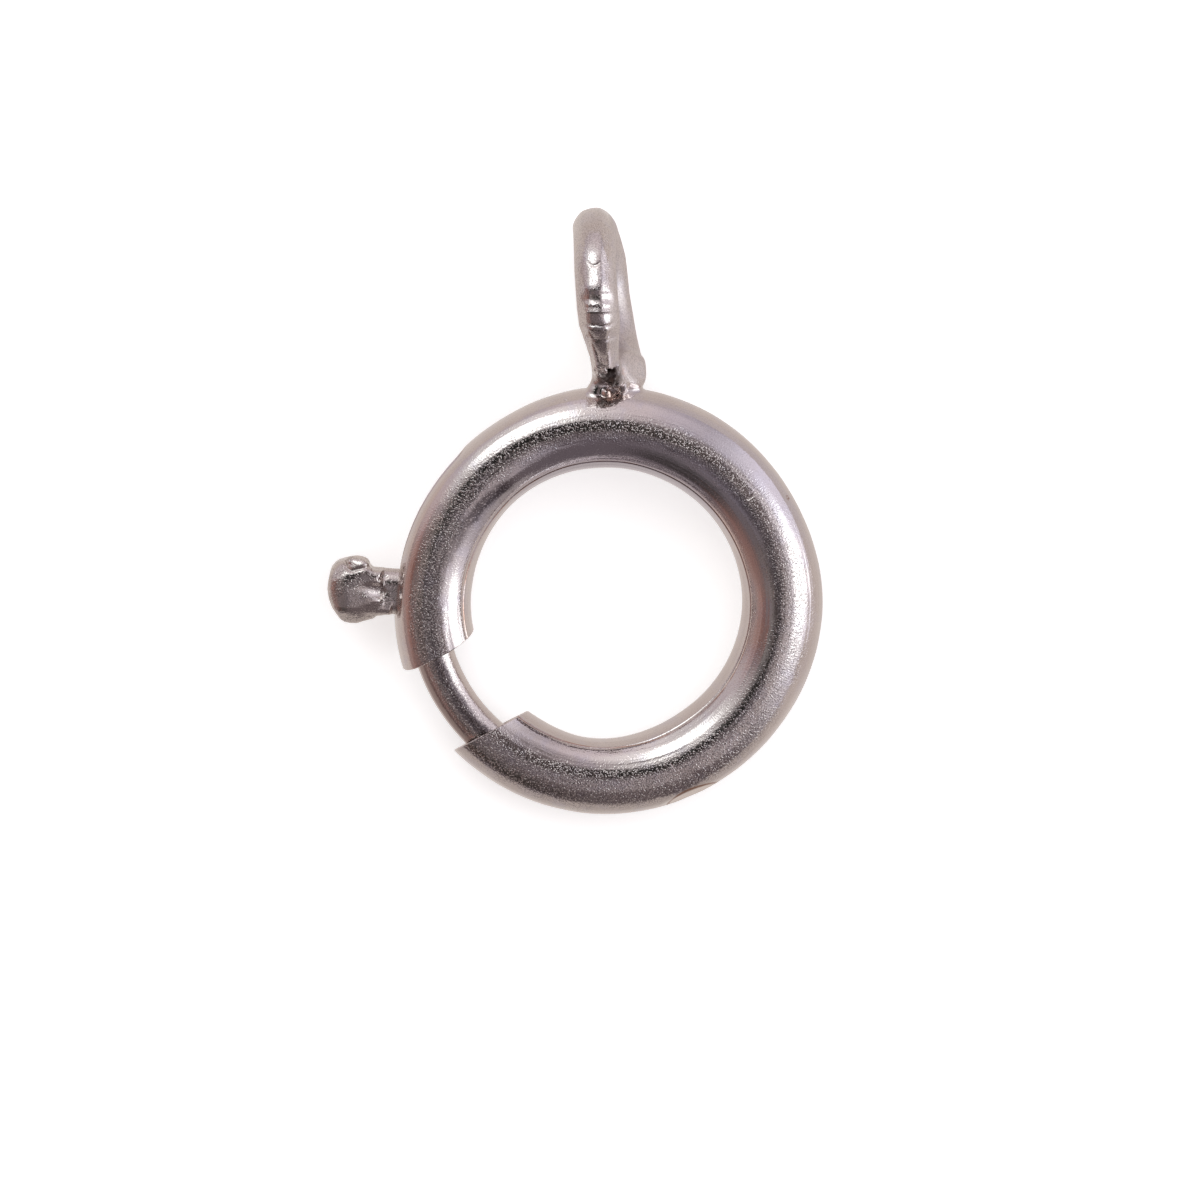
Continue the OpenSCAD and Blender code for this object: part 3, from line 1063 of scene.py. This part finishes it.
def ring_silver():
    material, g, shader = new_material("tumbled_ring_silver")
    height, shade = tumbled_grain(g, rubbed_crest(g))
    clouds = g.noise(1.1, 3.0, 0.55)
    oval = crimp_oval(g)
    tint = g.films(
        g.mix(g.ramp(clouds, 0.35, 0.65), (0.745, 0.680, 0.655), (0.795, 0.735, 0.705)),
        (g.ramp(g.noise(3.2, 3.0, 0.6, 0.4), 0.45, 0.75), STAIN),
        (lilac_zone(g), LILAC),
        (brown_zone(g), RED_BROWN),
        (g.ramp(oval, 1.0, 0.8, 0.0, 0.5), CRIMP_BROWN),
        # Painted dark reflection: a streak along the ring's left
        (painted_streak_shade(g), STREAK_PAINTED_SHADE),
        # Painted dark reflection: a thin line along the crest
        (painted_crest_shade(g), CREST_PAINTED_SHADE),
    )
    jitter = g.sway(12.0, 2.0, 0.20)
    shaken = g.vector("ADD", g.place, g.combine(jitter, jitter, jitter))
    soot = spots(g, SOOT_SPOTS, shaken)
    tint = g.films(
        g.dim(tint, shade),
        (spots(g, COPPER_SPOTS, shaken), COPPER),
        (g.times(soot, 0.86), SOOT),
        (g.most(spots(g, NICK_SPOTS, shaken), g.times(crimp_mark(g, oval), 0.9)), MARK_BROWN),
        (seam_dirt(g), SEAM_BROWN),
    )
    rough = g.most(g.ramp(clouds, 0.3, 0.7, 0.065, 0.10), g.times(soot, 0.55))
    rough = g.mix_value(dull_flank(g), rough, 0.46)
    relief = g.minus(g.plus(height, drawn_lines(g)), g.times(scratches(g), 1.6))
    finish_metal(g, shader, tint, rough, relief, 0.0065)
    return material


def drawn_lines(g):
    """Long faint lines along the tube, from drawing and bending it, but not on eye or crimp."""
    broad = g.streaks(0.22, 5.5, 3.0, 1.0, 0.6)
    thin = g.streaks(0.55, 15.0, 8.0, 1.0, 0.6)
    crimp = (3.4 * math.cos(CRIMP_TURN), 3.4 * math.sin(CRIMP_TURN), 0.20)
    reach = g.times(g.ramp(g.y, 3.75, 3.55), g.minus(1.0, patch(g, crimp, 0.58, 0.06)))
    return g.times(g.plus(g.times(broad, 2.0), g.times(thin, 0.45)), reach)


def seam_dirt(g):
    """How thick the dirt lies in the tube's seam, which stops short of the eye."""
    away = g.apart(g.round_it, math.radians(SEAM_ANGLE) * SKIN_R)
    uneven = g.ramp(g.noise(2.4), 0.38, 0.62, 0.25, 0.85)
    return g.times(g.ramp(away, 0.019, 0.009), g.ramp(g.y, 3.65, 3.55), uneven)


def lilac_zone(g):
    """Where a lilac film lies on the silver: inside the top of the ring, and up on its right."""
    up = g.times(g.ramp(g.y, 0.9, 1.8), g.ramp(g.x, -1.9, -0.9, 0.25, 0.8))
    inside = g.times(g.ramp(g.out, 2.90, 2.76), up)
    outside = g.times(g.ramp(g.x, 0.5, 1.3, 0.0, 0.5), g.ramp(g.y, 0.9, 1.5))
    return g.most(inside, g.times(g.band(g.out, 3.08, 3.16, 3.44, 3.50), outside))


def brown_zone(g):
    """Where a red-brown film lies: outside on the ring's left, and inside on its right."""
    left = g.times(g.band(g.out, 3.02, 3.12, 3.36, 3.44), g.ramp(g.x, -2.4, -2.9, 0.0, 0.35))
    near = patch(g, (2.15, 1.1, 0.45), 0.75, 0.45)
    return g.most(left, g.times(g.band(g.out, 2.30, 2.36, 2.54, 2.62), near, 0.6))


def shade_gaps(g):
    """0 on the small specks that stay bright inside the painted dark reflections, 1 elsewhere."""
    return g.ramp(g.noise(36.0, 1.0, at=g.shifted(4.0, 1.0, 8.0)), 0.68, 0.58)


def shade_line(g, line, sway, fade):
    """1 on a wavering line along the upper side of the tube, but for the bright specks: where a
    painted dark reflection lies.
    """
    across = g.plus(g.across(RING_R, TUBE_HALF_H), g.sway(*sway))
    return g.times(g.ramp(g.apart(across, line), *fade), g.ramp(g.z, 0.05, 0.20), shade_gaps(g))


def painted_streak_shade(g):
    """How strongly a painted dark reflection lies along the ring's left, from inside at the top to
    its crest below.
    """
    turned = g.math("ARCTAN2", g.y, g.times(g.x, -1.0))
    streak = shade_line(g, g.line(turned, -0.44, -0.03), (2.5, 3.0, 0.28), (0.22, 0.08))
    deep = g.ramp(turned, 0.10, 0.75, 0.46, 0.86)
    return g.times(streak, g.band(turned, -0.50, -0.30, 0.84, 0.96), deep)


def painted_crest_shade(g):
    """How strongly a painted dark reflection lies in a thin line along the crest, on the ring's
    right and top.
    """
    streak = shade_line(g, g.line(g.y, 0.035, -0.12), (2.2, 3.0, 0.30), (0.16, 0.05))
    return g.times(streak, g.ramp(g.x, -1.3, -0.7), g.band(g.y, -2.2, -1.6, 3.50, 3.60), 0.55)


def rubbed_crest(g):
    """1 along the band of the tube that is rubbed grainy, little beside it, and half on the eye."""
    away = g.apart(g.across(RING_R, SKIN_R), g.line(g.y, -0.018, 0.18))
    away = g.plus(g.line(g.y, 0.038, away), g.sway(3.0, 3.0, 0.55))
    return g.mix_value(g.ramp(g.y, 3.60, 3.70), g.ramp(away, 0.54, 0.26, 0.16, 1.0), 0.5)


def dull_flank(g):
    """1 on the eye's right side, which tumbling left dull, and 0 elsewhere."""
    return g.times(g.ramp(g.x, -0.02, 0.08), g.ramp(g.y, 3.62, 3.74))


# Short scratches on the tube: two ends in the photograph, height there, width in millimetres
SCRATCHES = [
    ((748, 500), (757, 494), 0.625, 0.012),
    ((562, 407), (566, 400), 0.35, 0.010),
    ((587, 404.5), (594, 403.5), 0.32, 0.012),
    ((668, 760), (676, 771), 0.63, 0.008),
]


def scratches(g):
    """1 in the middle of each scratch and 0 away from them."""
    marks = []
    for first, last, height, width in SCRATCHES:
        ax, ay = from_photo(*first, height)
        bx, by = from_photo(*last, height)
        long = math.hypot(bx - ax, by - ay)
        way = ((bx - ax) / long, (by - ay) / long, 0.0)
        off = g.vector("SUBTRACT", g.place, (ax, ay, height))
        along = g.math("MINIMUM", g.most(g.vector("DOT_PRODUCT", off, way), 0.0), long)
        near = g.vector("SUBTRACT", off, g.vector("MULTIPLY", along, way))
        marks.append(g.ramp(g.vector("LENGTH", near), width * 1.6, 0.0))
    return g.most(*marks)


def crimp_oval(g):
    """How far a place is from the middle of the crimp's oval outline: 1 on the outline itself."""
    c, s = math.cos(CRIMP_TURN), math.sin(CRIMP_TURN)
    ahead = g.vector("DOT_PRODUCT", g.place, (c, s, 0.0))
    turned = g.math("ARCTAN2", g.vector("DOT_PRODUCT", g.place, (-s, c, 0.0)), ahead)
    beside = g.most(g.times(turned, 6.8), g.times(turned, -8.8))
    return g.vector("LENGTH", g.combine(beside, g.line(g.round_it, 2.70, -0.36), 0.0))


def crimp_mark(g, oval):
    """The brown line round the crimp, which fades out on the tube's lower side."""
    return g.times(g.ramp(g.apart(oval, 1.0), 0.11, 0.03), g.ramp(g.z, -0.32, 0.12))


def bolt_rubs_and_painted_shade(g, rubs):
    """The bolt's colours: a film where it rubs, a painted dark reflection on top, and a brown tint
    with painted shade on its outer side.
    """
    across = g.across(BOLT_R, BOLT_WIRE_R)
    # Where the painted dark reflection lies on the bolt's top
    dark = g.band(g.plus(across, g.sway(3.5, 3.0, 0.35)), -0.50, -0.30, 0.02, 0.24)
    return (
        (g.ramp(rubs, 0.60, 0.72, 0.0, 0.35), (0.58, 0.51, 0.49)),
        # Painted dark reflection along the bolt's top
        (g.times(dark, shade_gaps(g), 0.80), (0.200, 0.170, 0.180)),
        # Brown tint and painted shade along the bolt's outer side
        (g.times(g.band(across, 0.50, 0.64, 0.86, 0.94), 0.80), (0.330, 0.245, 0.225)),
    )


def bolt_silver():
    material, g, shader = new_material("drawn_bolt_silver")
    height, shade = tumbled_grain(g, g.ramp(g.apart(g.z, 0.0), 0.25, 0.32, 0.2, 1.0))
    drawn = g.streaks(7.0, 26.0, 0.0, 2.0, 0.6)
    rubs = g.streaks(1.2, 9.0, 4.0, 2.0)
    tint = g.mix(g.ramp(g.noise(1.6), 0.35, 0.65), (0.735, 0.670, 0.645), (0.785, 0.720, 0.690))
    tint = g.dim(g.films(tint, *bolt_rubs_and_painted_shade(g, rubs)), shade)
    rough = g.ramp(rubs, 0.3, 0.7, 0.06, 0.11)
    finish_metal(g, shader, tint, rough, g.plus(g.times(drawn, 0.25), height), 0.0065)
    return material


def lever_silver():
    material, g, shader = new_material("cast_lever_silver")
    grainy = patch(g, (*from_photo(350, 581, 0.38), 0.38), 0.22, 0.10)
    grainy = g.most(g.ramp(g.noise(5.0), 0.40, 0.62, 0.30, 0.8), grainy)
    height, shade = tumbled_grain(g, grainy)
    lumps = g.noise(7.0)
    clouds = g.ramp(g.noise(2.6, 3.0, 0.6), 0.35, 0.65)
    dirt = g.ramp(g.noise(13.0), 0.60, 0.72, 0.0, 0.30)
    tint = g.mix(clouds, (0.730, 0.665, 0.635), (0.800, 0.740, 0.705))
    tint = g.dim(g.mix(dirt, tint, (0.34, 0.29, 0.27)), shade)
    rough = g.ramp(lumps, 0.3, 0.7, 0.12, 0.20)
    finish_metal(g, shader, tint, rough, g.plus(height, g.times(lumps, 0.4)), 0.0075)
    return material


def spring_steel():
    material, g, shader = new_material("satin_spring_steel")
    streaks = g.noise(18.0, 2.0, 0.6)
    tint = g.mix(g.ramp(g.noise(4.0), 0.3, 0.7), (0.48, 0.47, 0.46), (0.56, 0.55, 0.54))
    finish_metal(g, shader, tint, g.ramp(streaks, 0.3, 0.7, 0.28, 0.40), streaks, 0.001)
    return material


def floor_paper():
    material, g, shader = new_material("pale_floor")
    place = g.vector("SCALE", g.node("TexCoord").outputs["Object"])
    place.node.inputs["Scale"].default_value = 1000.0
    fibre = g.noise(0.35, 3.0, at=place)
    tint = g.mix(g.ramp(fibre, 0.3, 0.7), (0.905, 0.900, 0.895), (0.915, 0.912, 0.908))
    inputs = {
        "Base Color": tint,
        "Roughness": g.ramp(fibre, 0.3, 0.7, 0.85, 0.92),
        "Specular IOR Level": 0.0,
        "Emission Color": (1.0, 0.995, 0.99, 1.0),
        "Emission Strength": 0.47,
    }
    g.give(shader, inputs)
    return material


# The studio

FLOOR_HALF_M = 2.0
CAMERA_HEIGHT_M = 0.4
SENSOR_MM = 36.0


def add_floor():
    half, z = FLOOR_HALF_M, FLOOR_Z * 0.001
    points = np.array([(-half, -half, z), (half, -half, z), (half, half, z), (-half, half, z)])
    floor = new_object("studio_floor", new_mesh("studio_floor", points, [np.array([[0, 1, 2, 3]])]))
    dress(floor, floor_paper())
    floor.visible_glossy = False


def sky_way(azimuth, polar):
    """The direction towards a place in the studio, from +X round and down from overhead."""
    a, p = math.radians(azimuth), math.radians(polar)
    return (math.sin(p) * math.cos(a), math.sin(p) * math.sin(a), math.cos(p))


# Soft lights round the clasp: azimuth, angle from overhead, inner and outer reach, colour
SOFT_LIGHTS = [
    (6, 69, 14, 58, (0.81, 0.79, 0.87)),
    (358, 64, 9, 26, (1.20, 1.34, 1.32)),
    (112, 69, 36, 61, (0.40, 0.37, 0.40)),
    (123, 46, 6, 19, (1.30, 1.40, 1.42)),
    (120, 51, 16, 34, (0.19, 0.23, 0.21)),
    (305, 33, 5, 24, (0.30, 0.275, 0.280)),
    (92, 62, 8, 34, (0.17, 0.15, 0.155)),
    (250, 20, 3, 16, (0.055, 0.055, 0.070)),
    (180, 96, 2, 39, (0.19, 0.16, 0.15)),
    (310, 90, 2, 14, (0.22, 0.21, 0.20)),
    (50, 96, 2, 28, (0.23, 0.22, 0.25)),
    (180, 67, 3, 24, (0.10, 0.02, 0.00)),
    (212, 72, 3, 26, (0.12, 0.06, 0.045)),
    (183, 29, 2, 12, (0.10, 0.10, 0.105)),
    (197, 41, 4, 15, (0.09, 0.085, 0.085)),
    (130, 27, 2, 11, (0.06, 0.055, 0.06)),
    (240, 45, 5, 20, (0.03, 0.03, 0.03)),
]

# Dark flags that stand before the lights, in the same terms: what each one takes away
DARK_FLAGS = [
    (242, 66, 1, 24, (0.090, 0.072, 0.080)),
    (168, 60, 3, 13, (0.045, 0.035, 0.035)),
    (145, 12, 8, 19, (0.130, 0.105, 0.110)),
    (158, 21, 20, 34, (0.03, 0.02, 0.03)),
]
STUDIO_DARK = (0.150, 0.122, 0.128)
DARKEST = (0.02, 0.02, 0.02)

# What the pale table round the clasp looks like in it: near the horizon, what is added straight
# down, how it takes over at the horizon, and how it darkens towards the front
TABLE_TONE = (0.570, 0.500, 0.480)
TABLE_DEEP = (0.150, 0.160, 0.150)
HORIZON = (0.03, -0.13)
TABLE_FRONT = (-0.35, -0.85, 1.0, 0.78)


def soft_cap(g, way, light):
    """A round soft light's share of its full strength in a direction."""
    azimuth, polar, inner, outer = light[:4]
    facing = g.vector("DOT_PRODUCT", way, sky_way(azimuth, polar))
    return g.ramp(facing, math.cos(math.radians(outer)), math.cos(math.radians(inner)))


def light_studio():
    world = bpy.data.worlds.new("soft_studio")
    bpy.context.scene.world = world
    world.use_nodes = True
    g = Graph(world.node_tree)
    way = g.vector("NORMALIZE", g.node("TexCoord").outputs["Generated"])
    sky = STUDIO_DARK
    for lights, sign in ((SOFT_LIGHTS, 1.0), (DARK_FLAGS, -1.0)):
        for light in lights:
            colour = tuple(sign * value for value in light[4])
            sky = g.vector("MULTIPLY_ADD", soft_cap(g, way, light), colour, sky)
    sky = g.vector("MAXIMUM", sky, DARKEST)
    _, ahead, high = g.split(way)
    table = g.vector("MULTIPLY_ADD", g.times(high, -1.0), TABLE_DEEP, TABLE_TONE)
    front = g.ramp(ahead, *TABLE_FRONT)
    table = g.vector("MULTIPLY", table, g.combine(front, front, front))
    back = g.node("Background", {"Color": g.mix(g.ramp(high, *HORIZON), sky, table)})
    g.node("OutputWorld", {"Surface": back.outputs[0]})


def add_fill():
    """A lamp overhead that lights the floor and isn't mirrored in the metal."""
    lamp = bpy.data.lights.new("overhead_fill", "AREA")
    lamp.shape = "DISK"
    lamp.size = 0.9
    lamp.energy = 2.2
    lamp.color = (1.0, 0.99, 0.98)
    fill = new_object("overhead_fill", lamp)
    fill.location = (0.0, 0.0, 0.7)
    fill.visible_glossy = False


def add_camera():
    data = bpy.data.cameras.new("photo_camera")
    camera = new_object("photo_camera", data)
    width = FRAME_PIXELS * PIXEL * 0.001
    data.sensor_width = SENSOR_MM
    data.lens = data.sensor_width * CAMERA_HEIGHT_M / width
    data.clip_start = 0.01
    data.clip_end = 20.0
    middle = FRAME_PIXELS / 2.0
    beside = (middle - CENTRE_X) * PIXEL * 0.001
    camera.location = (beside, (CENTRE_Y - middle) * PIXEL * 0.001, CAMERA_HEIGHT_M)
    bpy.context.scene.camera = camera


def main():
    add_camera()
    light_studio()
    add_fill()
    add_floor()

    ring = make_ring()
    dress(ring, ring_silver())
    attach(ring, "clasp_ring")
    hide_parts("ring")

    bolt = make_bolt()
    dress(bolt, bolt_silver())
    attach(bolt, "clasp_bolt")
    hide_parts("bolt")

    lever = make_lever()
    dress(lever, lever_silver())
    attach(lever, "clasp_bolt")
    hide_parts("thumb_lever")

    spring = make_spring()
    dress(spring, spring_steel())
    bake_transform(spring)
    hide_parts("spring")

    view = bpy.context.scene.view_settings
    view.view_transform = "Standard"
    view.look = "None"


main()
